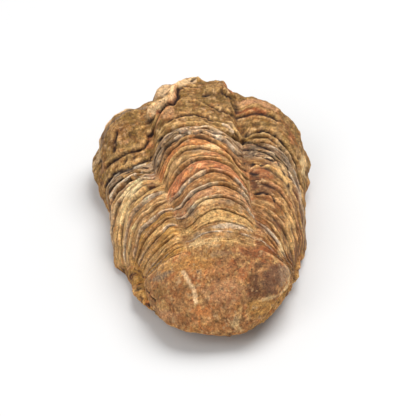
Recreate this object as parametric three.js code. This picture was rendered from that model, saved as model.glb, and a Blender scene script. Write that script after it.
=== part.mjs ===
// Trilobite fossil: one solid stone. A calymenid with its back arched and its belly filled with
// rock, lying on a flat patch of that rock. Millimetres, +Y from tail to head, +Z up, and z = 0
// is the surface that it rests on.
import * as THREE from 'three';

// ---------------------------------------------------------------- driving dimensions
const SEGMENTS = 13;              // rings of the thorax
const ORIGIN = { x: 2, y: 36 };   // point of the resting patch that becomes the part's origin

// Stations run along the body: 0 tail margin, 1 front of the tail shield, 2 front of the thorax,
// 3 front border of the head. Each rail below is a smooth curve through [station, value, ...].

// Crest of the back: x, y, z
const CREST = [
  [0, 2.2, 2.4, 3.9],
  [0.15, 2.3, 2.9, 6.4],
  [0.35, 2.4, 4.7, 10.6],
  [0.6, 2.4, 7.4, 14.3],
  [1, 2.2, 12.4, 18.6],
  [1.31, 2, 19.6, 22.1],
  [1.46, 1.7, 25.1, 24],
  [1.62, 1.1, 32, 25],
  [1.77, 0.5, 39.1, 24.3],
  [2, 0.2, 46.3, 21.6],
  [2.18, 0.7, 50, 21],
  [2.65, 2.2, 62, 19.2],
  [2.84, 2.6, 67.2, 13.8],
  [3, 2.4, 69.8, 4],
];

// Outer edge of the shell, at the tips of the ribs: left x, right x, y, z
const EDGE = [
  [0, 2.2, 2.2, 3, 4.4],
  [0.04, -3.2, 6.6, 3.5, 4.6],
  [0.1, -6.2, 8.8, 4.6, 4.4],
  [0.2, -9.2, 11.4, 7.2, 4.5],
  [0.35, -11, 14, 11, 4.8],
  [0.6, -12.2, 16, 16, 5],
  [1, -13, 17.6, 20.9, 4.4],
  [1.31, -14.6, 19, 24, 4],
  [1.46, -15.4, 20, 26, 3.5],
  [1.65, -16.4, 20.8, 27.6, 2.6],
  [1.8, -17.3, 21.4, 30.2, 2.4],
  [2, -17.6, 22, 35.5, 3.5],
  [2.12, -17.4, 23.2, 43, 4.2],
  [2.3, -18.8, 24.8, 50, 4.5],
  [2.5, -19, 24, 57, 4.5],
  [2.7, -15.6, 20.4, 63, 4.3],
  [2.88, -8.6, 13.4, 67.6, 4],
  [2.96, -3.2, 8.2, 69.3, 4],
  [3, 2.4, 2.4, 69.8, 4],
];

// Middle lobe: half width and height above the furrows beside it
const LOBE = [
  [0, 1, 0.2], [0.3, 4.4, 0.7], [0.7, 5.8, 1.8], [1, 6.4, 3.4], [1.25, 7, 5.4], [1.5, 7.8, 6.8],
  [1.72, 9, 7.6], [2, 10, 7.8], [2.15, 9.9, 6.6], [2.3, 9.4, 5], [2.62, 9.6, 4], [2.76, 8.6, 3],
  [2.9, 6.2, 0.6], [3, 1, 0],
];

// How soon the flanks turn down, on the left and on the right: more is sooner
const FALL = [
  [0, 1.2, 1.1], [0.6, 1.3, 1.2], [1, 1.6, 1.5], [1.3, 1.45, 1.15], [1.6, 1.25, 0.95],
  [3, 1.2, 0.95],
];

// The body leans to its left: drop per millimetre of width
const LEAN = [
  [0, 0], [1, 0.04], [1.5, 0.07], [2, 0.08], [2.4, -0.03], [3, 0],
];

// Rock under the shell: how deep it goes, how far it is drawn in from the tail and the front,
// and how far it stands out past the shell on the left and on the right
const BELLY = [
  [0.0, 0.0, 0.0, 0.0, 0.0], [0.1, 1.2, 3.0, 0.3, 0.2], [0.2, 3.0, 4.5, 0.8, 0.4],
  [0.4, 5.8, 4.6, 2.2, 0.9], [0.7, 6.8, 2.2, 3.0, 1.3], [1.0, 7.4, 0.0, 2.6, 1.4],
  [1.4, 8.0, 0.0, 1.2, 0.9], [1.8, 8.0, 0.0, 0.1, 0.3], [2.3, 8.0, 0.0, 0.2, 0.2],
  [2.7, 6.0, -0.8, 0.0, 0.0], [2.9, 2.0, -2.0, 0.0, 0.0], [3.0, 0.0, 0.0, 0.0, 0.0],
];

// Swellings of the head: x, y, radius across, radius along, height
const SWELLINGS = [
  [-16.5, 54.3, 6, 6.5, 2.6],  // left cheek
  [19.5, 53, 6, 8, 1.8],       // right cheek
  [-4.8, 59.8, 2.7, 3.4, 2],   // knob at the left of the glabella
  [9.3, 61.5, 4, 4.5, 2.3],    // right shoulder of the glabella
  [2, 64, 6, 4, 0.8],          // front of the glabella
  [-12.5, 56, 2.4, 3, 0.5],    // left eye
  [15.5, 57, 4.5, 3.5, 1.1],   // right eye
];

// How the rings sweep over the body: place across, then the stations of the grooves behind the
// rings named in RINGS_DRAWN, counted from the tail
const RINGS_DRAWN = [0, 2, 4, 6, 7, 8, 9, 10, 11, 13];
const RING_LINES = [
  [-3, 1, 1.15, 1.31, 1.46, 1.54, 1.62, 1.69, 1.77, 1.85, 2],
  [-2, 0.82, 0.93, 1.1, 1.22, 1.39, 1.47, 1.57, 1.82, 2.08, 2.19],
  [-1.75, 0.84, 0.93, 1.2, 1.32, 1.46, 1.57, 1.68, 1.94, 2.06, 2.17],
  [-1.5, 0.93, 1.02, 1.26, 1.4, 1.51, 1.62, 1.72, 1.94, 2.02, 2.1],
  [-1.25, 1, 1.1, 1.3, 1.41, 1.5, 1.59, 1.68, 1.86, 1.96, 2.04],
  [-1.08, 1.02, 1.15, 1.32, 1.42, 1.5, 1.59, 1.67, 1.76, 1.89, 2.03],
  [-0.92, 0.99, 1.12, 1.26, 1.4, 1.48, 1.59, 1.68, 1.78, 1.9, 2.08],
  [-0.5, 1.01, 1.14, 1.28, 1.43, 1.5, 1.61, 1.7, 1.78, 1.83, 2.07],
  [0, 0.99, 1.13, 1.3, 1.44, 1.52, 1.6, 1.67, 1.76, 1.81, 2],
  [0.5, 0.97, 1.11, 1.27, 1.42, 1.49, 1.57, 1.63, 1.69, 1.75, 1.97],
  [0.92, 0.94, 1.09, 1.24, 1.38, 1.44, 1.5, 1.55, 1.62, 1.76, 2.04],
  [1.08, 0.96, 1.08, 1.2, 1.33, 1.4, 1.48, 1.6, 1.74, 1.92, 2.09],
  [1.25, 0.9, 0.97, 1.06, 1.25, 1.37, 1.49, 1.61, 1.81, 1.98, 2.09],
  [1.5, 0.74, 0.79, 0.86, 1, 1.26, 1.45, 1.55, 1.78, 1.96, 2.07],
  [1.75, 0.56, 0.64, 0.72, 0.85, 1.05, 1.34, 1.43, 1.6, 1.84, 2.03],
  [2, 0.48, 0.58, 0.68, 0.82, 1, 1.2, 1.3, 1.5, 1.72, 1.94],
  [3, 1, 1.15, 1.31, 1.46, 1.54, 1.62, 1.69, 1.77, 1.85, 2],
];

// Height over one ring, from the groove behind it (0) to the next groove (1). The middle lobe and
// the left flank carry their lip at the rear of each ring, the right flank carries it at the front.
const REAR_LIP = [[0, -0.5], [0.07, 0.5], [0.25, 0.18], [0.6, 0.17], [0.88, -0.05], [1, -0.5]];
const FRONT_LIP = [[0, -0.5], [0.07, -0.1], [0.25, 0.18], [0.6, 0.12], [0.88, 0.5], [1, -0.5]];
// How strong the rings are along the body: row, share
const RING_RELIEF = [
  [1, 0.1], [1.08, 0.3], [1.2, 0.55], [1.4, 0.9], [1.75, 0.95], [1.88, 0.85], [2, 0.7],
];
// How strong they are across it, with a break in the furrow: place across, share
const RIB_RELIEF = [
  [0, 1], [0.8, 0.95], [0.9, 0.75], [0.97, 0.15], [1.03, 0.15], [1.1, 0.8], [1.6, 1.05],
  [1.8, 0.7], [1.92, 0.25], [2.02, 0],
];
const RIB_REACH = 2.02;           // place across where the ribs have run out
const WORN_LOBE = 0.6;            // share worn off the rear rings of the middle lobe
const FURROW_FILL = 0.25;         // rock left in the furrows beside the middle lobe

// Ridges (+) and creases (-) of the head: height, half width, then x, y points
const HEAD_LINES = [
  { rise: -0.8, width: 0.7, points: [[-17, 49.4], [-14.7, 48.8], [-11.8, 48.6], [-9.4, 49.2], [-7.9, 51]] },
  { rise: -0.8, width: 0.8, points: [[-5.9, 54.1], [-6.6, 53.3], [-7.3, 52.7], [-8, 52.4]] },
  { rise: -0.5, width: 0.8, points: [[-14.9, 52.9], [-15.5, 50.6]] },
  { rise: 0.9, width: 0.9, points: [[-7.2, 55.7], [-4.6, 55.8], [-3.2, 56.5], [-0.5, 61.4], [1.3, 64.1]] },
  { rise: 0.6, width: 0.7, points: [[1.3, 64.1], [3.8, 64.3]] },
  { rise: -0.5, width: 0.7, points: [[-4.2, 50.7], [0, 51], [1.9, 50.7], [4.9, 48.7], [6.5, 48.4]] },
  { rise: -0.4, width: 0.7, points: [[3.6, 54.5], [6.4, 52.5], [8.1, 52.2]] },
  { rise: -0.6, width: 1.5, points: [[4.1, 56.8], [8.9, 57]] },
  { rise: -0.8, width: 0.7, points: [[11.8, 50.1], [15.3, 50.7], [19, 48.5], [21.6, 45], [22.4, 41]] },
  { rise: -0.6, width: 0.7, points: [[8.9, 46.3], [10.3, 47.6], [10.8, 48.3]] },
  { rise: -0.5, width: 0.8, points: [[9.2, 52.7], [11, 54.4], [16, 54.1], [18.7, 53]] },
  { rise: 0.5, width: 0.7, points: [[8.1, 49.1], [9.3, 47.9], [10.5, 49.2]] },
  { rise: -0.7, width: 1, points: [[10.6, 56], [10.2, 59], [10, 62]] },
];

// Outline of the tail shield on the left and on the right: station, place across
const SHIELD_LEFT = [[0, -1.2], [0.2, -1.9], [0.47, -1.96], [0.75, -1.9], [1, -1.72], [1.3, -1.5]];
const SHIELD_RIGHT = [
  [0, 1.2], [0.2, 1.35], [0.4, 1.52], [0.54, 1.67], [0.63, 1.62], [0.78, 1.5], [1, 1.3],
];
const SHIELD_STEP = { middle: 0.1, sides: 0.45 };   // how far the shield stands above the rock

const ROUGHNESS = { shell: 0.22, rock: 0.5 };       // uneven surface, height either way
const TIP_FADE = 0.06;            // length in rows over which relief dies out at both ends

// Rows and columns of the mesh
const TAIL_ROWS = 11;
const HEAD_ROWS = 30;
const PLACES_ON_RING = [0, 0.07, 0.25, 0.6, 0.88];
const LOBE_PLACES = [0, 0.17, 0.34, 0.51, 0.68, 0.85];
const FLANK_PLACES = [1, 1.08, 1.17, 1.27, 1.37, 1.48, 1.59, 1.7, 1.81, 1.91];
const BELLY_PLACES = [2, 2.06, 2.14, 2.25, 2.4, 2.6, 2.8];

// ---------------------------------------------------------------- helpers
const clamp = (value, low = 0, high = 1) => Math.min(high, Math.max(low, value));
const bump = (distance, width) => Math.exp(-((distance / width) ** 2));

// 0 at low, 1 at high and smooth between; low may be the larger one
function ramp(value, low, high) {
  const t = clamp((value - low) / (high - low));
  return t * t * (3 - 2 * t);
}

// Values at x on the smooth curve through the rows [position, value, ...]
function along(rows, x) {
  const slope = (i, c) => (rows[i + 1][c] - rows[i][c]) / (rows[i + 1][0] - rows[i][0]);
  const last = rows.length - 1;
  const tangent = (i, c) => {
    if (i > 0 && i < last) {
      const before = rows[i][0] - rows[i - 1][0];
      const after = rows[i + 1][0] - rows[i][0];
      return (slope(i - 1, c) * after + slope(i, c) * before) / (before + after);
    }
    return i === 0 ? 1.5 * slope(0, c) - 0.5 * tangent(1, c)
      : 1.5 * slope(last - 1, c) - 0.5 * tangent(last - 1, c);
  };
  let i = 0;
  while (i < last - 1 && x >= rows[i + 1][0]) i += 1;
  const span = rows[i + 1][0] - rows[i][0];
  const t = (x - rows[i][0]) / span;
  return rows[i].slice(1).map((_, k) => {
    const c = k + 1;
    return rows[i][c] * (1 + 2 * t) * (1 - t) ** 2 + span * tangent(i, c) * t * (1 - t) ** 2
      + rows[i + 1][c] * t * t * (3 - 2 * t) + span * tangent(i + 1, c) * t * t * (t - 1);
  });
}

// Uneven rock surface, about -1 to 1
function rock(x, y, z) {
  const a = Math.sin(0.61 * x + 1.7 * Math.sin(0.37 * y + 0.5) + 0.9);
  const b = Math.sin(0.73 * y + 1.5 * Math.sin(0.45 * z + 0.31 * x + 2.1));
  const c = Math.sin(0.82 * z + 1.3 * Math.sin(0.52 * x - 0.4 * y + 4));
  return (a * b + b * c + c * a) / 2;
}

// Distance in plan from x, y to a line of points
function planDistance(x, y, points) {
  let nearest = Infinity;
  for (let i = 0; i < points.length - 1; i += 1) {
    const [ax, ay] = points[i];
    const [bx, by] = points[i + 1];
    const length2 = (bx - ax) ** 2 + (by - ay) ** 2;
    const t = clamp(((x - ax) * (bx - ax) + (y - ay) * (by - ay)) / length2);
    nearest = Math.min(nearest, Math.hypot(x - ax - t * (bx - ax), y - ay - t * (by - ay)));
  }
  return nearest;
}

// ---------------------------------------------------------------- body surface
// Smooth surface at a station and a place across it: 0 crest, 1 furrow beside the middle lobe,
// 2 edge of the shell, 3 middle of the belly, negative on the left.
function bodyPoint(station, across) {
  const side = Math.sign(across);
  const reach = Math.abs(across);
  const [cx, cy, cz] = along(CREST, station);
  const [, y0, z0] = along(CREST, Math.max(station - 0.001, 0));
  const [, y1, z1] = along(CREST, Math.min(station + 0.001, 3));
  const pitch = Math.atan2(z1 - z0, y1 - y0);
  const [left, right, ey, ez] = along(EDGE, station);
  const ex = side < 0 ? left : right;
  const [lobeHalf, lobeRise] = along(LOBE, station);
  const halfWidth = Math.min(lobeHalf, 0.45 * Math.abs(ex - cx));
  const rise = Math.min(lobeRise, 0.42 * Math.hypot(ey - cy, ez - cz));
  const [lean] = along(LEAN, station);

  if (reach <= 1) {
    const fullness = 2 + 0.5 * clamp((station - 2) / 0.5);
    const roundness = clamp((station - 0.6) / 0.7);
    const arched = (q) => 1 - (1 - (0.97 * q) ** fullness) ** (1 / fullness);
    const soft = (1 - Math.cos(Math.PI * reach)) / 2;
    const dx = side * halfWidth * reach;
    const drop = rise * (roundness * arched(reach) / arched(1) + (1 - roundness) * soft) - dx * lean;
    return new THREE.Vector3(cx + dx, cy + drop * Math.sin(pitch), cz - drop * Math.cos(pitch));
  }
  if (reach <= 2) {
    const angle = (reach - 1) * Math.PI / 2;
    const out = Math.sin(angle) ** 0.95;
    const [fallLeft, fallRight] = along(FALL, station);
    const down = 1 - Math.max(Math.cos(angle), 0) ** (side < 0 ? fallLeft : fallRight);
    const fx = cx + side * halfWidth;
    const drop = rise - side * halfWidth * lean;
    const fy = cy + drop * Math.sin(pitch);
    const fz = cz - drop * Math.cos(pitch);
    return new THREE.Vector3(fx + (ex - fx) * out, fy + (ey - fy) * down, fz + (ez - fz) * down);
  }
  const [depth, tuck, shelfLeft, shelfRight] = along(BELLY, station);
  const under = reach - 2;
  const angle = under * Math.PI / 2;
  const middle = (left + right) / 2;
  const shelf = (side < 0 ? -shelfLeft : shelfRight) * Math.sin(Math.PI * under ** 0.6);
  return new THREE.Vector3(
    middle + (ex - middle) * Math.max(Math.cos(angle), 0) ** 0.8 + shelf,
    ey + tuck * Math.sin(angle),
    ez - depth * Math.sin(angle),
  );
}

// Soft swellings of the head, lifted straight up and a little forward
function swell(point, station, across) {
  const top = clamp((2 - Math.abs(across)) / 0.6);
  let height = 0;
  for (const [x, y, rx, ry, h] of SWELLINGS) {
    height += h * Math.exp(-(((point.x - x) / rx) ** 2) - ((point.y - y) / ry) ** 2);
  }
  point.z += 0.9 * height * top;
  point.y += 0.4 * height * top * clamp((station - 2.3) / 0.5);
  return point;
}

const smoothPoint = (station, across) => swell(bodyPoint(station, across), station, across);

// Station of a row of the mesh: rows 1 to 2 follow the rings as they sweep over the body
function ringStation(row, across) {
  const lines = along(RING_LINES, across);
  const place = clamp((row - 1) * SEGMENTS, 0, SEGMENTS);
  let station = lines[0] * Math.min(row, 1);
  for (let i = 0; i < RINGS_DRAWN.length - 1; i += 1) {
    const gap = RINGS_DRAWN[i + 1] - RINGS_DRAWN[i];
    station += (lines[i + 1] - lines[i]) * clamp((place - RINGS_DRAWN[i]) / gap);
  }
  return station + Math.max(row - 2, 0) * (3 - lines[lines.length - 1]);
}

// ---------------------------------------------------------------- relief, in mm along the normal
function thoraxRelief(row, across, point) {
  const rings = clamp((row - 1) * SEGMENTS, 0, SEGMENTS - 0.001);
  const ring = Math.floor(rings + 1e-6);
  const place = clamp(rings - ring);
  const reach = Math.abs(across);
  const [rear] = along(REAR_LIP, place);
  const [front] = along(FRONT_LIP, place);
  const profile = rear + (front - rear) * ramp(across, 0.97, 1.03);
  const [height] = along(RING_RELIEF, row);
  const [spread] = along(RIB_RELIEF, Math.min(reach, RIB_REACH));
  const worn = 0.95 + 0.12 * Math.sin(2.4 * ring + 1) + 0.2 * rock(1.3 * point.x, point.y, 9);
  const faint = 1 - WORN_LOBE * ramp(row, 1.42, 1.18) * ramp(reach, 1.15, 0.9);
  return profile * height * spread * worn * faint + FURROW_FILL * bump(reach - 1, 0.06);
}

function headRelief(row, station, across, point) {
  const reach = Math.abs(across);
  const top = clamp((2.1 - reach) / 0.2);
  let relief = -0.5 * ramp((row - 2) * 20, 0.35, 0);
  relief -= 0.4 * bump(reach - 1, 0.1) * clamp((2.86 - station) / 0.08);
  const beyondNeck = clamp((station - 2.25) / 0.1);
  relief += beyondNeck * (0.7 * bump(point.z - 5, 1.5) - 0.9 * bump(point.z - 8.4, 1.3));
  for (const { rise, width, points } of HEAD_LINES) {
    relief += rise * bump(planDistance(point.x, point.y, points), width);
  }
  return relief * top;
}

// 1 on the tail shield, 0 on the rock round it
function insideShield(row, station, across) {
  const [left] = along(SHIELD_LEFT, clamp(station, 0, 1.3));
  const [right] = along(SHIELD_RIGHT, clamp(station));
  const between = ramp(across, left - 0.03, left + 0.03) * ramp(across, right + 0.05, right);
  return between * ramp(row, 1.01, 0.99);
}

function tailRelief(row, station, across) {
  const reach = Math.abs(across);
  const { middle, sides } = SHIELD_STEP;
  const step = middle + (sides - middle) * ramp(reach, 0.7, 1.2);
  const furrow = -0.15 * bump(reach - 1, 0.12) * ramp(station, 0.1, 0.5);
  return step * insideShield(row, station, across) + furrow;
}

function relief(row, station, across, point) {
  let height = 0;
  if (row < 1) height = tailRelief(row, station, across);
  else if (row < 2) height = thoraxRelief(row, across, point);
  else height = headRelief(row, station, across, point);
  const roughness = Math.abs(across) > 2 ? ROUGHNESS.rock : ROUGHNESS.shell;
  const { x, y, z } = point;
  height += roughness * rock(x, y, z);
  height += 0.5 * roughness * rock(2.3 * x + 5, 2.3 * y + 1, 2.3 * z + 3);
  return height * clamp(Math.min(row, 3 - row) / TIP_FADE);
}

// Finished surface: the smooth one raised by its relief, and flat where it rests
function surfacePoint(row, across) {
  const step = 0.004;
  const station = ringStation(row, across);
  const point = smoothPoint(station, across);
  const ahead = smoothPoint(Math.min(station + step, 3), across);
  const behind = smoothPoint(Math.max(station - step, 0), across);
  const toRight = smoothPoint(station, Math.min(across + step, 3));
  const toLeft = smoothPoint(station, Math.max(across - step, -3));
  const normal = toRight.sub(toLeft).cross(ahead.sub(behind)).normalize();
  point.addScaledVector(normal, relief(row, station, across, point));
  point.z = Math.max(point.z, 0);
  return point;
}

// ---------------------------------------------------------------- mesh
function meshRows() {
  const rows = [];
  for (let i = 1; i < TAIL_ROWS; i += 1) rows.push((i / TAIL_ROWS) ** 1.4);
  for (let ring = 0; ring < SEGMENTS; ring += 1) {
    for (const place of PLACES_ON_RING) rows.push(1 + (ring + place) / SEGMENTS);
  }
  for (let i = 0; i < HEAD_ROWS; i += 1) rows.push(3 - (1 - i / HEAD_ROWS) ** 1.2);
  return rows;
}

function meshColumns() {
  const half = [...LOBE_PLACES, ...FLANK_PLACES, ...BELLY_PLACES];
  const left = half.slice(1).map((place) => -place).reverse();
  return [-3, ...left, ...half];
}

function shellGeometry() {
  const rows = meshRows();
  const columns = meshColumns();
  const positions = [];
  for (const row of rows) {
    for (const across of columns) positions.push(...surfacePoint(row, across).toArray());
  }
  const tailTip = rows.length * columns.length;
  const headTip = tailTip + 1;
  positions.push(...smoothPoint(0, 0).toArray(), ...smoothPoint(3, 0).toArray());

  const faces = [];
  for (let c = 0; c < columns.length; c += 1) {
    const next = (c + 1) % columns.length;
    faces.push(tailTip, next, c);
    for (let r = 0; r < rows.length - 1; r += 1) {
      const a = r * columns.length + c;
      const b = r * columns.length + next;
      faces.push(a, b, b + columns.length, a, b + columns.length, a + columns.length);
    }
    const front = (rows.length - 1) * columns.length;
    faces.push(front + c, front + next, headTip);
  }
  const geometry = new THREE.BufferGeometry();
  geometry.setAttribute('position', new THREE.Float32BufferAttribute(positions, 3));
  geometry.setIndex(faces);
  geometry.computeVertexNormals();
  return geometry;
}

const stone = new THREE.MeshStandardMaterial({
  name: 'stone',
  color: 0xa57e55,
  roughness: 0.85,
  metalness: 0,
});
const trilobite = new THREE.Mesh(shellGeometry(), stone);
trilobite.name = 'trilobite';
trilobite.position.set(-ORIGIN.x, -ORIGIN.y, 0);

const part = new THREE.Group();
part.add(trilobite);
export default part;
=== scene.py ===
import math

import bpy
import numpy as np
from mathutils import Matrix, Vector


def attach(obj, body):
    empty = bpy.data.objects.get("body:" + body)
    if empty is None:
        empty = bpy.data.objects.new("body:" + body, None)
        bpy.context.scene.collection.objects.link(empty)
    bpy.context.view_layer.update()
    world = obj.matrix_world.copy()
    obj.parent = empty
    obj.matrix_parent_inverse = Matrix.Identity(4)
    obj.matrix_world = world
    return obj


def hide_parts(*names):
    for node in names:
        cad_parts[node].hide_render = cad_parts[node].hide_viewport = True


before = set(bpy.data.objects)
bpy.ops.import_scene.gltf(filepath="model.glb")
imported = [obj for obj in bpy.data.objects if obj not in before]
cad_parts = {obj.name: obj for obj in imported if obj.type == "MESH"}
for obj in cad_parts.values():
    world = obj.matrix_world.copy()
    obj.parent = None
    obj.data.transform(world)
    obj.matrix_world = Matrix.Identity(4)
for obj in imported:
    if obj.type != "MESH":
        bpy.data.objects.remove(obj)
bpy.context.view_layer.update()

# The trilobite's looks: one fine mesh in the place of the CAD solid, with the same rails, ring
# relief and head forms in millimetres, then finer relief, a colour for each vertex worked out
# from where it lies on the animal, and a stone material over both.

MM = 0.001
SEGMENTS = 13               # rings of the thorax
ORIGIN = (2.0, 36.0)        # x, y of the resting patch that is the part's origin, in mm

# Stations run along the body: 0 tail margin, 1 front of the tail shield, 2 front of the thorax,
# 3 front border of the head. Each rail is a smooth curve through (station, value, ...), in mm.
CREST = [  # x, y, z
    (0, 2.2, 2.4, 3.9), (0.15, 2.3, 2.9, 6.4), (0.35, 2.4, 4.7, 10.6), (0.6, 2.4, 7.4, 14.3),
    (1, 2.2, 12.4, 18.6), (1.31, 2, 19.6, 22.1), (1.46, 1.7, 25.1, 24), (1.62, 1.1, 32, 25),
    (1.77, 0.5, 39.1, 24.3), (2, 0.2, 46.3, 21.6), (2.18, 0.7, 50, 21), (2.65, 2.2, 62, 19.2),
    (2.84, 2.6, 67.2, 13.8), (3, 2.4, 69.8, 4),
]
EDGE = [  # left x, right x, y, z of the rib tips
    (0, 2.2, 2.2, 3, 4.4), (0.04, -3.2, 6.6, 3.5, 4.6), (0.1, -6.2, 8.8, 4.6, 4.4),
    (0.2, -9.2, 11.4, 7.2, 4.5), (0.35, -11, 14, 11, 4.8), (0.6, -12.2, 16, 16, 5),
    (1, -13, 17.6, 20.9, 4.4), (1.31, -14.6, 19, 24, 4), (1.46, -15.4, 20, 26, 3.5),
    (1.65, -16.4, 20.8, 27.6, 2.6), (1.8, -17.3, 21.4, 30.2, 2.4), (2, -17.6, 22, 35.5, 3.5),
    (2.12, -17.4, 23.2, 43, 4.2), (2.3, -18.8, 24.8, 50, 4.5), (2.5, -19, 24, 57, 4.5),
    (2.7, -15.6, 20.4, 63, 4.3), (2.88, -8.6, 13.4, 67.6, 4), (2.96, -3.2, 8.2, 69.3, 4),
    (3, 2.4, 2.4, 69.8, 4),
]
LOBE = [  # half width and height of the middle lobe
    (0, 1, 0.2), (0.3, 4.4, 0.7), (0.7, 5.8, 1.8), (1, 6.4, 3.4), (1.25, 7, 5.4), (1.5, 7.8, 6.8),
    (1.72, 9, 7.6), (2, 10, 7.8), (2.15, 9.9, 6.6), (2.3, 9.4, 5), (2.62, 9.6, 4), (2.76, 8.6, 3),
    (2.9, 6.2, 0.6), (3, 1, 0),
]
FALL = [  # how soon the left and the right flank turn down
    (0, 1.2, 1.1), (0.6, 1.3, 1.2), (1, 1.6, 1.5), (1.3, 1.45, 1.15), (1.6, 1.25, 0.95), (3, 1.2, 0.95),
]
LEAN = [  # drop per millimetre of width, towards the animal's left
    (0, 0), (1, 0.04), (1.5, 0.07), (2, 0.08), (2.4, -0.03), (3, 0),
]
BELLY = [  # depth, draw-in, and how far the rock stands out past the shell, left and right
    (0.0, 0.0, 0.0, 0.0, 0.0), (0.1, 1.2, 3.0, 0.3, 0.2), (0.2, 3.0, 4.5, 0.8, 0.4),
    (0.4, 5.8, 4.6, 2.2, 0.9), (0.7, 6.8, 2.2, 3.0, 1.3), (1.0, 7.4, 0.0, 2.6, 1.4),
    (1.4, 8.0, 0.0, 1.2, 0.9), (1.8, 8.0, 0.0, 0.1, 0.3), (2.3, 8.0, 0.0, 0.2, 0.2),
    (2.7, 6.0, -0.8, 0.0, 0.0), (2.9, 2.0, -2.0, 0.0, 0.0), (3.0, 0.0, 0.0, 0.0, 0.0),
]
SWELLINGS = [  # x, y, radius across, radius along, height
    (-16.5, 54.3, 6, 6.5, 2.6), (19.5, 53, 6, 8, 1.8), (-4.8, 59.8, 2.7, 3.4, 2),
    (9.3, 61.5, 4, 4.5, 2.3), (2, 64, 6, 4, 0.8), (-12.5, 56, 2.4, 3, 0.5), (15.5, 57, 4.5, 3.5, 1.1),
]
RINGS_DRAWN = (0, 2, 4, 6, 7, 8, 9, 10, 11, 13)
RING_LINES = [  # place across, then the stations of the dark grooves between the rings drawn
    (-3, 1, 1.15, 1.31, 1.46, 1.54, 1.62, 1.69, 1.77, 1.85, 2),
    (-2, 0.82, 0.93, 1.1, 1.22, 1.39, 1.47, 1.57, 1.82, 2.08, 2.19),
    (-1.75, 0.84, 0.93, 1.2, 1.32, 1.46, 1.57, 1.68, 1.94, 2.06, 2.17),
    (-1.5, 0.93, 1.02, 1.26, 1.4, 1.51, 1.62, 1.72, 1.94, 2.02, 2.1),
    (-1.25, 1, 1.1, 1.3, 1.41, 1.5, 1.59, 1.68, 1.86, 1.96, 2.04),
    (-1.08, 1.02, 1.15, 1.32, 1.42, 1.5, 1.59, 1.67, 1.76, 1.89, 2.03),
    (-0.92, 0.99, 1.12, 1.26, 1.4, 1.48, 1.59, 1.68, 1.78, 1.9, 2.08),
    (-0.5, 1.01, 1.14, 1.28, 1.43, 1.5, 1.61, 1.7, 1.78, 1.83, 2.07),
    (0, 0.99, 1.13, 1.3, 1.44, 1.52, 1.6, 1.67, 1.76, 1.81, 2),
    (0.5, 0.97, 1.11, 1.27, 1.42, 1.49, 1.57, 1.63, 1.69, 1.75, 1.97),
    (0.92, 0.94, 1.09, 1.24, 1.38, 1.44, 1.5, 1.55, 1.62, 1.76, 2.04),
    (1.08, 0.96, 1.08, 1.2, 1.33, 1.4, 1.48, 1.6, 1.74, 1.92, 2.09),
    (1.25, 0.9, 0.97, 1.06, 1.25, 1.37, 1.49, 1.61, 1.81, 1.98, 2.09),
    (1.5, 0.74, 0.79, 0.86, 1, 1.26, 1.45, 1.55, 1.78, 1.96, 2.07),
    (1.75, 0.56, 0.64, 0.72, 0.85, 1.05, 1.34, 1.43, 1.6, 1.84, 2.03),
    (2, 0.48, 0.58, 0.68, 0.82, 1, 1.2, 1.3, 1.5, 1.72, 1.94),
    (3, 1, 1.15, 1.31, 1.46, 1.54, 1.62, 1.69, 1.77, 1.85, 2),
]
# Height over one ring, from the groove behind it (0) to the next groove (1): the middle lobe and
# the left flank have their thin lip at the rear, the right flank has it at the front
REAR_LIP = [
    (0, -0.45), (0.03, 0.1), (0.07, 0.46), (0.13, 0.48), (0.18, 0.28), (0.24, 0.12), (0.4, 0.2),
    (0.6, 0.17), (0.8, 0.02), (0.93, -0.12), (1, -0.45),
]
FRONT_LIP = [
    (0, -0.45), (0.07, -0.1), (0.2, 0.14), (0.4, 0.2), (0.62, 0.1), (0.74, 0.12), (0.83, 0.4),
    (0.91, 0.48), (0.96, 0.15), (1, -0.45),
]
# How strong the rings are along the body (row, share) and across it (place across, share)
RING_RELIEF = [(1, 0.1), (1.08, 0.3), (1.2, 0.55), (1.4, 0.9), (1.75, 0.95), (1.88, 0.85), (2, 0.7)]
RIB_RELIEF = [
    (0, 1), (0.8, 0.95), (0.9, 0.75), (0.97, 0.15), (1.03, 0.15), (1.1, 0.8), (1.6, 1.05), (1.8, 0.7),
    (1.92, 0.25), (2.02, 0),
]
RIB_REACH = 2.02              # place across where the ribs have run out
WORN_LOBE = 0.6               # share worn off the rear rings of the middle lobe
FURROW_FILL = 0.25            # rock left in the furrows beside the middle lobe, in mm
WORN_SPOT = ((1.85, -1.4), (0.1, 0.2))  # worn part of the left flank: centre, radii
WORN_SPOT_SHARE = 0.8
HOLE = ((1.67, 1.075), (0.02, 0.05))  # small hole in the right flank: centre, radii
HOLE_DEPTH = 0.45
THREAD_RINGS = (9.7, 10.3)    # a second thread comes up along each ring over these rings
THREAD_HEIGHT = 0.14
LINE_HEIGHT = 0.09            # fine lines that run along the rings
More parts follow.
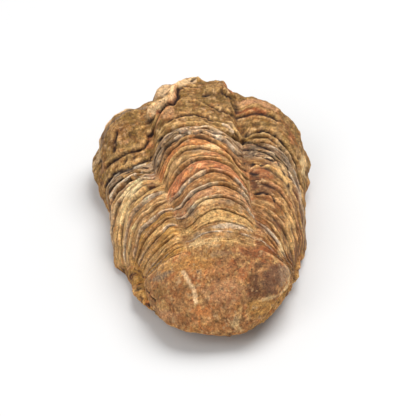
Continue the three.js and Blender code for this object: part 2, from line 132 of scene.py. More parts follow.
HEAD_LINES = [  # ridges (+) and creases (-) of the head: height, half width, x, y points
    (-0.9, 0.28, [(-17, 49.4), (-14.7, 48.8), (-11.8, 48.6), (-9.4, 49.2), (-8.4, 50.4), (-7.9, 51)]),
    (-0.6, 0.4, [(-9.9, 46.5), (-8.9, 46.9)]),
    (-0.4, 0.3, [(-13.7, 47.1), (-13, 47.9)]),
    (-0.3, 0.3, [(-11.7, 47.3), (-11.5, 48.3)]),
    (-0.9, 0.35, [(-3.7, 54.9), (-5.6, 54.3), (-6.6, 53.2), (-7.9, 51.9)]),
    (-0.35, 0.3, [(-7.8, 55.4), (-7.5, 54.4), (-6.9, 54.1)]),
    (-0.6, 0.5, [(-14.9, 52.9), (-15.3, 51.8), (-15.5, 50.6)]),
    (1.0, 0.8, [(-7.2, 55.7), (-6.1, 56), (-4.6, 55.8), (-3.2, 56.5), (-2.1, 58.6), (-0.5, 61.4),
        (1.3, 64.1), (3.4, 64.1)]),
    (-0.7, 0.4, [(-5.5, 54.3), (-4.2, 54.9), (-2.5, 55), (-1.4, 56.6), (-1.2, 58.8)]),
    (-0.6, 0.45, [(0.6, 60.5), (2.9, 60.5)]),
    (-0.55, 0.45, [(-4.2, 50.7), (-2.2, 50.9), (0, 51), (1.9, 50.7), (3.4, 49.8), (4.9, 48.7),
        (6.5, 48.4)]),
    (-0.4, 0.35, [(3.6, 54.5), (5.1, 53.4), (6.4, 52.5), (8.1, 52.2)]),
    (-0.7, 1.3, [(4.1, 56.8), (5.8, 57), (8.9, 57)]),
    (-0.35, 0.3, [(7.8, 57.7), (9.3, 57.3), (10.2, 57.6)]),
    (-0.95, 0.32, [(11.8, 50.1), (14.3, 50.4), (15.3, 50.7), (16.7, 49.9), (19, 48.5), (20.5, 46.7),
        (21.6, 45), (22.4, 41)]),
    (-0.6, 0.3, [(10.8, 47.8), (12.1, 47.1), (13.9, 47.5), (15.1, 47.9)]),
    (-0.5, 0.22, [(13.5, 49), (16, 48.7), (18.6, 46.7), (20.3, 44)]),
    (0.35, 0.4, [(11.5, 49), (13.4, 49.7), (15.3, 49.3)]),
    (-0.5, 0.25, [(8.9, 46.3), (10.3, 47.6), (10.8, 48.3)]),
    (-0.6, 0.5, [(9.2, 52.7), (11, 54.4), (14.3, 54.4), (16, 54.1), (18.7, 53)]),
    (0.6, 0.5, [(8.1, 49.1), (9.3, 47.9), (10.5, 49.2)]),
    (-0.7, 0.9, [(10.6, 56), (10.2, 59), (10, 62)]),
]
HEAD_BORDER = [(0.7, 5, 1.5), (-0.9, 8.4, 1.3)]  # rise, height above the ground, half width
BORDER_START = (2.25, 0.1)    # station where the border starts, and over what length

# The smooth body's curves between the rails
PITCH_STEP = 0.001            # in stations, for the slope of the crest
LOBE_LIMITS = (0.45, 0.42)    # the middle lobe's half width and height, as shares of the room it has
LOBE_ARC = 0.97               # share of a full arc that the lobe's cross-section takes
LOBE_ROUND = (0.6, 0.7)       # station where the lobe starts to round up, and over what length
HEAD_FULLER = (2, 0.5)        # the same for the fuller cross-section of the head's lobe
FLANK_OUT = 0.95              # exponent: how soon the flank reaches its edge
BELLY_IN = 0.8                # exponent: how late the belly turns in
SHELF_PEAK = 0.6              # exponent: how near the shell the rock stands out most
SWELLING_TOP = 0.6            # the swellings fade over this much of the flank above its edge
SWELLING_UP, SWELLING_FORWARD = 0.9, 0.4  # how a swelling's height is shared out
SWELLING_START = (2.3, 0.5)   # station where they start to lean forward, and over what length

# The tail shield's outline on each side: station, place across
SHIELD_LEFT = [(0, -1.2), (0.2, -1.9), (0.47, -1.96), (0.75, -1.9), (1, -1.72), (1.3, -1.5)]
SHIELD_RIGHT = [(0, 1.2), (0.2, 1.35), (0.4, 1.52), (0.54, 1.67), (0.63, 1.62), (0.78, 1.5), (1, 1.3)]
SHIELD_STEP = (0.1, 0.45)     # how far the shield stands above the rock, in its middle and at its sides
SHIELD_RIM = 0.3              # height of the rim on its right side
TAIL_RINGS, TAIL_RING_HEIGHT = 6, 0.05
ROCK_STARTS = (1.95, 2.08)    # places across between which the shell gives way to the rock
ROCK_ON_RIBS = (-1.68, -1.8)  # the same where rock lies over the tips of the left ribs,
ROCK_ON_RIBS_END = (1.43, 1.33)   # up to these stations

# The uneven surface, in mm: broad waves, fine roughness, ripples and the rock's grains
WAVES = {"shell": 0.2, "rock": 0.4}
ROUGH = {"rings": 0.07, "head": 0.12, "tail": 0.11}
RIPPLE_HEIGHT = 0.07          # along the rings' direction, on the neck and the tail
GRAIN_HEIGHT, GRAIN_SINK, GRAIN_SIZE = 0.45, 0.3, 1.4
RIBS_LEFT_IN_ROCK = 0.15      # share of the rings' relief that shows through the rock
TIP_FADE = 0.06               # length in rows over which relief dies out at both ends
NORMAL_STEP = 0.004           # step in stations and across, for the surface's direction
PLACE_WIDTH = 9               # about as many mm as a unit of place across


# ---------------------------------------- curves and noise
def along(rows, x):
    """Values at x on the smooth curve through the rows (position, value, ...), last axis first."""
    table = np.array(rows, float)
    xs, ys = table[:, 0], table[:, 1:]
    span = np.diff(xs)[:, None]
    slope = np.diff(ys, axis=0) / span
    tangent = np.empty_like(ys)
    tangent[1:-1] = (slope[:-1] * span[1:] + slope[1:] * span[:-1]) / (span[:-1] + span[1:])
    tangent[0] = 1.5 * slope[0] - 0.5 * tangent[1]
    tangent[-1] = 1.5 * slope[-1] - 0.5 * tangent[-2]
    x = np.asarray(x, float)
    i = np.clip(np.searchsorted(xs, x, side="right") - 1, 0, len(xs) - 2)
    h = span[i, 0][..., None]
    t = (x - xs[i])[..., None] / h
    values = (ys[i] * (1 + 2 * t) * (1 - t) ** 2 + h * tangent[i] * t * (1 - t) ** 2
              + ys[i + 1] * t * t * (3 - 2 * t) + h * tangent[i + 1] * t * t * (t - 1))
    return np.moveaxis(values, -1, 0)


def bump(distance, width):
    return np.exp(-(distance / width) ** 2)


def spot(station, across, centre, radii):
    """1 in the middle of an oval spot on the body, falling off to 0 round it."""
    return bump(np.hypot((station - centre[0]) / radii[0], (across - centre[1]) / radii[1]), 1)


def climb(value, start, length):
    """0 up to the start, then straight up to 1 over the length."""
    return np.clip((value - start) / length, 0, 1)


def ramp(value, low, high):
    """0 at low, 1 at high, smooth between; low may be the larger one."""
    t = np.clip((value - low) / (high - low), 0, 1)
    return t * t * (3 - 2 * t)


def rock(x, y, z):
    """The solid's own uneven surface, about -1 to 1."""
    a = np.sin(0.61 * x + 1.7 * np.sin(0.37 * y + 0.5) + 0.9)
    b = np.sin(0.73 * y + 1.5 * np.sin(0.45 * z + 0.31 * x + 2.1))
    c = np.sin(0.82 * z + 1.3 * np.sin(0.52 * x - 0.4 * y + 4))
    return (a * b + b * c + c * a) / 2


def lattice(ix, iy, iz, seed):
    """A fixed random value, -1 to 1, at each whole-number point."""
    n = (ix * 374761393 + iy * 668265263 + iz * 1440662683 + seed * 974634777) & 0xFFFFFFFF
    n = ((n ^ (n >> 13)) * 1274126177) & 0xFFFFFFFF
    n = ((n ^ (n >> 15)) * 2246822519) & 0xFFFFFFFF
    return ((n >> 8) & 0xFFFF) / 32767.5 - 1


def noise(points, size, seed):
    """Smooth noise with lumps about as large as size, in the points' own units."""
    p = points / size
    base = np.floor(p).astype(np.int64)
    f = p - base
    f = f * f * f * (f * (f * 6 - 15) + 10)
    total = 0
    for dx in (0, 1):
        wx = f[..., 0] if dx else 1 - f[..., 0]
        for dy in (0, 1):
            wy = f[..., 1] if dy else 1 - f[..., 1]
            for dz in (0, 1):
                wz = f[..., 2] if dz else 1 - f[..., 2]
                corner = lattice(base[..., 0] + dx, base[..., 1] + dy, base[..., 2] + dz, seed)
                total = total + corner * wx * wy * wz
    return total


def layered(points, size, seed, octaves):
    """Noise with finer and fainter layers added."""
    turned = points
    total, strength = 0, 1.0
    for octave in range(octaves):
        total = total + strength * noise(turned, size, seed + octave)
        turned = turned[..., [1, 2, 0]] * 1.03 + 17.3
        size *= 0.5
        strength *= 0.55
    return total


def line_distance(p, points):
    """Distance from a line through the points, in plan or in space as they are given."""
    points = np.array(points, float)
    p = p[..., :points.shape[1]]
    nearest = np.full(p.shape[:-1], 1e9)
    for a, b in zip(points[:-1], points[1:]):
        t = np.clip((p - a) @ (b - a) / ((b - a) @ (b - a)), 0, 1)
        nearest = np.minimum(nearest, np.linalg.norm(p - a - t[..., None] * (b - a), axis=-1))
    return nearest


# ---------------------------------------- body surface
def smooth_point(station, across):
    """The smooth body at a station and a place across it: 0 crest, 1 furrow beside the middle
    lobe, 2 edge of the shell, 3 middle of the belly, negative on the left."""
    station, across = np.broadcast_arrays(station, across)
    side, reach = np.sign(across), np.abs(across)
    cx, cy, cz = along(CREST, station)
    _, y0, z0 = along(CREST, np.maximum(station - PITCH_STEP, 0))
    _, y1, z1 = along(CREST, np.minimum(station + PITCH_STEP, 3))
    pitch = np.arctan2(z1 - z0, y1 - y0)
    left, right, ey, ez = along(EDGE, station)
    ex = np.where(side < 0, left, right)
    lobe_half, lobe_rise = along(LOBE, station)
    half = np.minimum(lobe_half, LOBE_LIMITS[0] * np.abs(ex - cx))
    rise = np.minimum(lobe_rise, LOBE_LIMITS[1] * np.hypot(ey - cy, ez - cz))
    lean, = along(LEAN, station)

    fullness = 2 + 0.5 * climb(station, *HEAD_FULLER)
    roundness = climb(station, *LOBE_ROUND)
    q = np.minimum(reach, 1)
    arched = 1 - (1 - (LOBE_ARC * q) ** fullness) ** (1 / fullness)
    arched_end = 1 - (1 - LOBE_ARC ** fullness) ** (1 / fullness)
    fall = roundness * arched / arched_end + (1 - roundness) * (1 - np.cos(math.pi * q)) / 2
    dx = side * half * q
    drop = rise * fall - dx * lean
    x = cx + dx
    y = cy + drop * np.sin(pitch)
    z = cz - drop * np.cos(pitch)

    angle = np.clip(reach - 1, 0, 1) * math.pi / 2
    out = np.sin(angle) ** FLANK_OUT
    fall_left, fall_right = along(FALL, station)
    down = 1 - np.maximum(np.cos(angle), 0) ** np.where(side < 0, fall_left, fall_right)
    x = x + (ex - x) * out
    y = y + (ey - y) * down
    z = z + (ez - z) * down

    depth, tuck, shelf_left, shelf_right = along(BELLY, station)
    under = np.clip(reach - 2, 0, 1)
    angle = under * math.pi / 2
    middle = (left + right) / 2
    shelf = np.where(side < 0, -shelf_left, shelf_right) * np.sin(math.pi * under ** SHELF_PEAK)
    below = reach > 2
    x = np.where(below, middle + (ex - middle) * np.maximum(np.cos(angle), 0) ** BELLY_IN + shelf, x)
    y = np.where(below, ey + tuck * np.sin(angle), y)
    z = np.where(below, ez - depth * np.sin(angle), z)

    top = np.clip((2 - reach) / SWELLING_TOP, 0, 1)
    height = 0
    for sx, sy, rx, ry, h in SWELLINGS:
        height = height + h * np.exp(-((x - sx) / rx) ** 2 - ((y - sy) / ry) ** 2)
    z = z + SWELLING_UP * height * top
    y = y + SWELLING_FORWARD * height * top * climb(station, *SWELLING_START)
    return np.stack([x, y, z], -1)


# ---------------------------------------- mesh rows along the rings
def ring_station(row, across):
    """Station of a row of the mesh: rows 1 to 2 follow the rings as they sweep over the body."""
    lines = along(RING_LINES, across)
    place = np.clip((row - 1) * SEGMENTS, 0, SEGMENTS)
    station = lines[0] * np.minimum(row, 1)
    for i in range(len(RINGS_DRAWN) - 1):
        gap = RINGS_DRAWN[i + 1] - RINGS_DRAWN[i]
        station = station + (lines[i + 1] - lines[i]) * np.clip((place - RINGS_DRAWN[i]) / gap, 0, 1)
    return station + np.maximum(row - 2, 0) * (3 - lines[-1])


def ring_place(row):
    """The ring that a row is on, and its place on it: 0 rear lip, 1 front."""
    rings = np.clip((row - 1) * SEGMENTS, 0, SEGMENTS - 1e-6)
    ring = np.floor(rings + 1e-6)
    return ring, np.clip(rings - ring, 0, 1)


def flow(row, across):
    """Coordinates that run along the rings: about 1 mm a unit across, one ring a unit along."""
    return np.stack([across * PLACE_WIDTH, row * SEGMENTS, 0 * row], -1)


def ring_noise(row, across, along_ring, over_ring, seed):
    """Noise with so many lumps in a unit of flow along the rings, and over them."""
    return noise(flow(row, across) * (along_ring, over_ring, 1), 1.0, seed)


# ---------------------------------------- relief, in mm along the normal
def thorax_relief(row, station, across, p):
    ring, place = ring_place(row)
    reach = np.abs(across)
    rear, = along(REAR_LIP, place)
    front, = along(FRONT_LIP, place)
    profile = rear + (front - rear) * ramp(across, 0.97, 1.03)
    height, = along(RING_RELIEF, np.clip(row, 1, 2))
    spread, = along(RIB_RELIEF, np.minimum(reach, RIB_REACH))
    uneven = 0.95 + 0.12 * np.sin(2.4 * ring + 1) + 0.2 * noise(p, 3.0, 13) + 0.15 * noise(p, 0.9, 15)
    lines = ring_noise(row, across, 1, 7, 14) * ramp(place, 0, 0.2) * ramp(place, 1, 0.8)
    left_over = 1 - WORN_LOBE * ramp(row, 1.42, 1.18) * ramp(reach, 1.15, 0.9)
    left_over = left_over * (1 - WORN_SPOT_SHARE * spot(station, across, *WORN_SPOT))
    fill = FURROW_FILL * (1 + noise(p, 2.0, 17)) * bump(reach - 1, 0.06)
    hole = -HOLE_DEPTH * spot(station, across, *HOLE)
    threads = np.sin(4 * math.pi * (place + 0.12 * noise(p, 1.5, 16)))
    threads = threads * ramp((row - 1) * SEGMENTS, *THREAD_RINGS)
    steps = profile * uneven * left_over + LINE_HEIGHT * lines + THREAD_HEIGHT * threads
    return steps * height * spread + fill + hole


def sway(p):
    """Sideways waver of the lines drawn on the body, in mm."""
    return 0.3 * np.stack([noise(p, 2.2, 51), noise(p, 2.0, 52), noise(p, 2.1, 53)], -1)


def head_relief(row, station, across, p):
    reach, z = np.abs(across), p[..., 2]
    top = np.clip((2.1 - reach) / 0.2, 0, 1)
    edge = (row - 2) * 20
    relief = 0.25 * bump(edge - 0.8, 0.5) - 0.5 * ramp(edge, 0.35, 0)
    relief = relief - 0.4 * bump(reach - 1, 0.1) * np.clip((2.86 - station) / 0.08, 0, 1)
    for rise, level, half_width in HEAD_BORDER:
        relief = relief + climb(station, *BORDER_START) * rise * bump(z - level, half_width)
    wavered = p + sway(p)
    for rise, width, points in HEAD_LINES:
        relief = relief + rise * bump(line_distance(wavered, points), width)
    return relief * top


def inside_shield(row, station, across):
    """1 on the tail shield, 0 on the rock and the ribs round it."""
    left, = along(SHIELD_LEFT, np.clip(station, 0, 1.3))
    right, = along(SHIELD_RIGHT, np.clip(station, 0, 1))
    between = ramp(across, left - 0.03, left + 0.03) * ramp(across, right + 0.05, right)
    return between * ramp(row, 1.01, 0.99)


def tail_relief(row, station, across, p):
    reach = np.abs(across)
    inside = inside_shield(row, station, across)
    step = SHIELD_STEP[0] + (SHIELD_STEP[1] - SHIELD_STEP[0]) * ramp(reach, 0.7, 1.2)
    rings = TAIL_RING_HEIGHT * np.sin(2 * math.pi * TAIL_RINGS * station) * np.clip(1.5 - reach, 0, 1)
    rim = SHIELD_RIM * 4 * inside * (1 - inside) * ramp(across, 0.8, 1.2)
    furrow = -0.15 * bump(reach - 1, 0.12) * ramp(station, 0.1, 0.5)
    return step * inside + rings * inside + rim + furrow


def granules(p, size, seed):
    """Rounded grains with sharp gaps between them, 0 to about 1."""
    return 1 - np.abs(noise(p, size, seed)) - 0.5 * np.abs(noise(p, size * 0.5, seed + 1))


def marks_relief(p):
    wavered = p + MARK_SWAY * sway(p)
    return sum(rise * bump(line_distance(wavered, points), width)
               for _, _, width, rise, points in MARKS)


def is_rock(row, station, across):
    """1 where the rock under the shell shows, 0 on the shell."""
    reach = np.abs(across)
    under = ramp(reach, *ROCK_STARTS)
    beside = (1 - inside_shield(row, station, across)) * ramp(row, 1, 0.96) * ramp(reach, 1.3, 1.6)
    over_ribs = ramp(across, *ROCK_ON_RIBS) * ramp(station, *ROCK_ON_RIBS_END) * ramp(row, 1, 1.04)
    return np.maximum(np.maximum(under, beside), over_ribs)


def relief(row, station, across, p):
    height = np.where(row < 1, tail_relief(row, station, across, p),
                      np.where(row < 2, thorax_relief(row, station, across, p),
                               head_relief(row, station, across, p)))
    x, y, z = np.moveaxis(p, -1, 0)
    rock_shows = is_rock(row, station, across)
    on_ribs = ramp(row, 1, 1.03) * ramp(row, 2, 1.97)
    height = height * (1 - (1 - RIBS_LEFT_IN_ROCK) * rock_shows * on_ribs)
    height = height + marks_relief(p) * ramp(np.abs(across), 2.05, 1.95)
    waves = WAVES["shell"] + (WAVES["rock"] - WAVES["shell"]) * rock_shows
    height = height + waves * (rock(x, y, z) + 0.3 * rock(2.3 * x + 5, 2.3 * y + 1, 2.3 * z + 3))
    on_head = ramp(row, 2, 2.05)
    on_tail = ramp(row, 1, 0.95)
    rough = (ROUGH["rings"] + (ROUGH["head"] - ROUGH["rings"]) * on_head
             + (ROUGH["tail"] - ROUGH["rings"]) * on_tail)
    fine = layered(p, 1.3, 21, 3) + 0.9 * on_head * layered(p, 0.6, 25, 2)
    height = height + rough * fine * (1 - rock_shows)
    on_neck = on_head * ramp(row, 2.5, 2.3)
    height = height + RIPPLE_HEIGHT * (on_neck + 0.5 * on_tail) * ring_noise(row, across, 0.8, 5, 27)
    height = height + rock_shows * (GRAIN_HEIGHT * granules(p, GRAIN_SIZE, 23) - GRAIN_SINK)
    return height * np.clip(np.minimum(row, 3 - row) / TIP_FADE, 0, 1)


def surface(row, across):
    """Points of the finished surface in mm, with the smooth points and stations under them."""
    station = ring_station(row, across)
    p = smooth_point(station, across)
    on_thorax = ramp(row, 0.98, 1.05) * ramp(row, 2.01, 1.96)
    waver = 0.1 * noise(p, 5.0, 11) + 0.03 * noise(p, 1.2, 12)
    station = ring_station(row + on_thorax * waver / SEGMENTS, across)
    p = smooth_point(station, across)
    ahead = smooth_point(np.minimum(station + NORMAL_STEP, 3), across)
    behind = smooth_point(np.maximum(station - NORMAL_STEP, 0), across)
    right = smooth_point(station, np.minimum(across + NORMAL_STEP, 3))
    left = smooth_point(station, np.maximum(across - NORMAL_STEP, -3))
    normal = np.cross(right - left, ahead - behind)
    normal /= np.maximum(np.linalg.norm(normal, axis=-1, keepdims=True), 1e-12)
    height = relief(row, station, across, p)
    points = p + normal * height[..., None]
    points[..., 2] = np.maximum(points[..., 2], 0)
    return points, p, station, height


# ---------------------------------------- colour
INKS = {  # the stone's colours
    "cream": (226, 192, 138), "straw": (204, 162, 102), "tan": (180, 138, 88), "clay": (164, 116, 70),
    "ochre": (174, 127, 62), "olive": (130, 96, 44), "moss": (102, 74, 28), "brown": (132, 84, 44),
    "umber": (80, 46, 24), "rust": (172, 98, 56), "orange": (190, 122, 66), "pink": (190, 137, 98),
    "lilac": (170, 143, 114), "slate": (128, 106, 84), "plum": (114, 78, 54), "dark": (38, 18, 10),
    "pale": (214, 178, 134), "bark": (100, 60, 32), "ember": (146, 78, 40), "ash": (202, 180, 152),
    "salmon": (196, 124, 80), "bone": (238, 208, 156),
}
RING_TONES = [  # for each ring: lip and band of the left flank, the middle lobe, the right flank
    ("tan", "ochre", "ochre", "straw", "clay", "brown"),
    ("ash", "ochre", "straw", "tan", "ash", "bark"),
    ("lilac", "straw", "ash", "tan", "tan", "brown"),
    ("straw", "ochre", "straw", "straw", "clay", "clay"),
    ("ash", "straw", "tan", "tan", "ash", "bark"),
    ("tan", "ochre", "ash", "pink", "tan", "brown"),
    ("ash", "tan", "ash", "clay", "tan", "bark"),
    ("cream", "tan", "ash", "salmon", "clay", "brown"),
    ("ash", "straw", "tan", "tan", "pink", "bark"),
    ("straw", "straw", "straw", "orange", "straw", "bark"),
    ("ash", "lilac", "tan", "brown", "lilac", "bark"),
    ("ash", "olive", "ash", "slate", "ash", "slate"),
    ("slate", "lilac", "ash", "lilac", "ash", "slate"),
]
SHADING_REACH, WIDE_SHADING_REACH = (3, 2), (12, 7)  # neighbours compared for the painted shade and painted highlights: rows, columns of the mesh
# Clouds of other inks: ink, strength, size in mm, seed
HEAD_FLECKS = [
    ("moss", 0.55, 3.0, 71), ("brown", 0.55, 1.6, 72), ("tan", 0.5, 1.8, 73), ("straw", 0.5, 0.6, 74),
    ("umber", 0.55, 0.5, 75),
]
TAIL_FLECKS = [
    ("orange", 0.4, 3.5, 81), ("olive", 0.45, 2.0, 82), ("brown", 0.45, 1.2, 83), ("tan", 0.6, 0.9, 84),
    ("rust", 0.4, 1.1, 85), ("straw", 0.6, 0.5, 86), ("umber", 0.6, 0.45, 87),
]
THORAX_FLECKS = [("ochre", 0.4, 4.0, 91), ("brown", 0.4, 1.4, 92), ("olive", 0.35, 1.8, 93)]
ROCK_FLECKS = [("orange", 0.8, 1.2, 95), ("straw", 0.6, 0.8, 96), ("bark", 1, 0.7, 97)]
GROOVE_SHADE = [  # painted shade in the grooves between the rings, how dark along the body: row, share
    (1, 0), (1.2, 0.15), (1.4, 0.35), (1.7, 0.5), (1.82, 0.95), (2, 1),
]
PATCHES = [  # ink, strength, station, place across, radius along, radius across
    ("ember", 0.6, 0.94, 0.95, 0.08, 0.5), ("rust", 0.5, 0.66, 0.53, 0.09, 0.18),
    ("plum", 0.9, 0.57, 1.25, 0.2, 0.26), ("umber", 0.7, 0.48, 0.88, 0.2, 0.16),
    ("umber", 0.5, 0.44, 1.1, 0.08, 0.2), ("lilac", 0.45, 0.62, 1.47, 0.17, 0.1),
    ("slate", 0.8, 0.73, -1.5, 0.04, 0.14), ("slate", 0.8, 0.77, -1.34, 0.03, 0.09),
    ("straw", 0.55, 0.88, -1.28, 0.05, 0.08), ("olive", 0.5, 0.54, -1.57, 0.11, 0.14),
    ("brown", 0.5, 0.51, -1.25, 0.1, 0.15), ("orange", 0.4, 0.74, -0.65, 0.16, 0.34),
    ("slate", 0.4, 0.92, 0, 0.03, 0.36), ("cream", 0.6, 1.07, -0.6, 0.035, 0.42),
    ("cream", 0.5, 1.03, -0.25, 0.035, 0.11), ("orange", 0.7, 0.28, -0.97, 0.05, 0.21),
    ("pink", 0.5, 0.28, -1.65, 0.05, 0.31), ("orange", 0.5, 0.14, -0.6, 0.05, 0.7),
    ("cream", 0.45, 0.16, 0.35, 0.055, 0.35), ("ochre", 0.6, 0.28, 1.28, 0.07, 0.5),
    ("pink", 0.4, 0.48, -0.12, 0.15, 0.72), ("umber", 0.45, 0.62, -0.37, 0.03, 0.2),
    ("brown", 0.45, 0.25, -1.46, 0.03, 0.16), ("straw", 0.4, 0.38, -1.61, 0.055, 0.14),
    ("ochre", 0.5, 0.85, -0.9, 0.12, 0.5),
    ("bark", 0.6, 1.55, 1.15, 0.035, 0.14), ("straw", 0.65, 1.82, 1.47, 0.19, 0.13),
    ("cream", 0.7, 0.99, 1.38, 0.12, 0.06), ("rust", 0.45, 1.69, 1.17, 0.05, 0.14),
    ("moss", 0.6, 2.17, 1.2, 0.04, 0.16), ("slate", 0.5, 2.06, 1.49, 0.065, 0.17),
    ("bone", 0.9, 1.82, -1.3, 0.09, 0.15), ("cream", 0.7, 1.78, -1.57, 0.14, 0.12),
    ("umber", 0.9, 1.69, -1.13, 0.028, 0.06), ("umber", 0.85, 1.62, -1.25, 0.022, 0.09),
    ("umber", 0.8, 1.61, -1.13, 0.022, 0.05), ("pink", 0.5, 1.83, -1.07, 0.1, 0.06),
    ("brown", 0.35, 1.26, -1.33, 0.035, 0.06), ("cream", 0.6, 1.57, -1.04, 0.03, 0.04),
    ("slate", 0.8, 1.33, -0.68, 0.035, 0.09), ("slate", 0.6, 1.34, 0.27, 0.014, 0.2),
    ("cream", 0.7, 1.36, -0.3, 0.022, 0.22), ("straw", 0.5, 1.28, -0.12, 0.027, 0.37),
    ("slate", 0.65, 1.15, -0.64, 0.022, 0.15), ("ash", 0.7, 1.175, 0.25, 0.022, 0.7),
    ("cream", 0.8, 1.68, 0.25, 0.02, 0.21), ("slate", 0.7, 1.67, -0.12, 0.014, 0.16),
    ("moss", 0.5, 1.66, -0.41, 0.018, 0.13), ("rust", 0.7, 1.54, -0.72, 0.02, 0.08),
    ("rust", 0.6, 1.63, 0.24, 0.018, 0.3), ("brown", 0.55, 2.32, -1.35, 0.05, 0.12),
    ("moss", 0.45, 2.38, -1.23, 0.05, 0.12), ("straw", 0.6, 2.25, -1.11, 0.025, 0.07),
    ("umber", 0.5, 2.29, -1.47, 0.04, 0.03), ("plum", 0.5, 2.44, -1.6, 0.085, 0.045),
    ("straw", 0.5, 2.44, -1.73, 0.06, 0.05), ("pink", 0.6, 2.3, -1.77, 0.025, 0.07),
    ("pale", 0.65, 2.5, -0.67, 0.06, 0.2), ("pink", 0.7, 2.51, -0.45, 0.09, 0.12),
    ("moss", 0.6, 2.44, 0.38, 0.068, 0.4), ("moss", 0.35, 2.33, -0.35, 0.07, 0.3),
    ("rust", 0.4, 2.36, 1.17, 0.035, 0.12), ("tan", 0.7, 2.5, 1.25, 0.08, 0.3),
    ("pink", 0.45, 2.52, 1.15, 0.05, 0.15),
    ("rust", 0.5, 2.24, 1.55, 0.06, 0.06), ("cream", 0.8, 2.19, 1.83, 0.07, 0.1),
    ("moss", 0.5, 2.26, 1.21, 0.03, 0.15), ("cream", 0.6, 2.19, -0.83, 0.03, 0.08),
    ("lilac", 0.5, 2.12, 0.75, 0.05, 0.07), ("slate", 0.75, 1.98, -0.83, 0.09, 0.14),
    ("lilac", 0.6, 1.8, 0.82, 0.1, 0.12), ("pink", 0.5, 2.3, -0.56, 0.06, 0.14),
    ("rust", 0.5, 2.19, -1.03, 0.04, 0.05), ("moss", 0.5, 2.41, 0.72, 0.05, 0.16),
    ("cream", 0.6, 2.2, 1.13, 0.012, 0.08), ("lilac", 0.5, 2.48, -0.76, 0.03, 0.08),
    ("straw", 0.6, 1.3, 1.55, 0.25, 0.14), ("umber", 0.7, 0.73, 1.04, 0.06, 0.13),
    ("bone", 0.8, 1.88, -1.42, 0.06, 0.14), ("brown", 0.5, 2.61, -0.2, 0.04, 0.12),
    ("brown", 0.4, 2.243, -0.3, 0.03, 0.4), ("umber", 0.45, 0.91, 0.9, 0.045, 0.35),
    ("tan", 0.5, 1.39, 1.15, 0.06, 0.12), ("tan", 0.4, 1.15, -1.5, 0.12, 0.2),
]
MARK_SWAY = 0.6               # share of the sway that the marks take part in
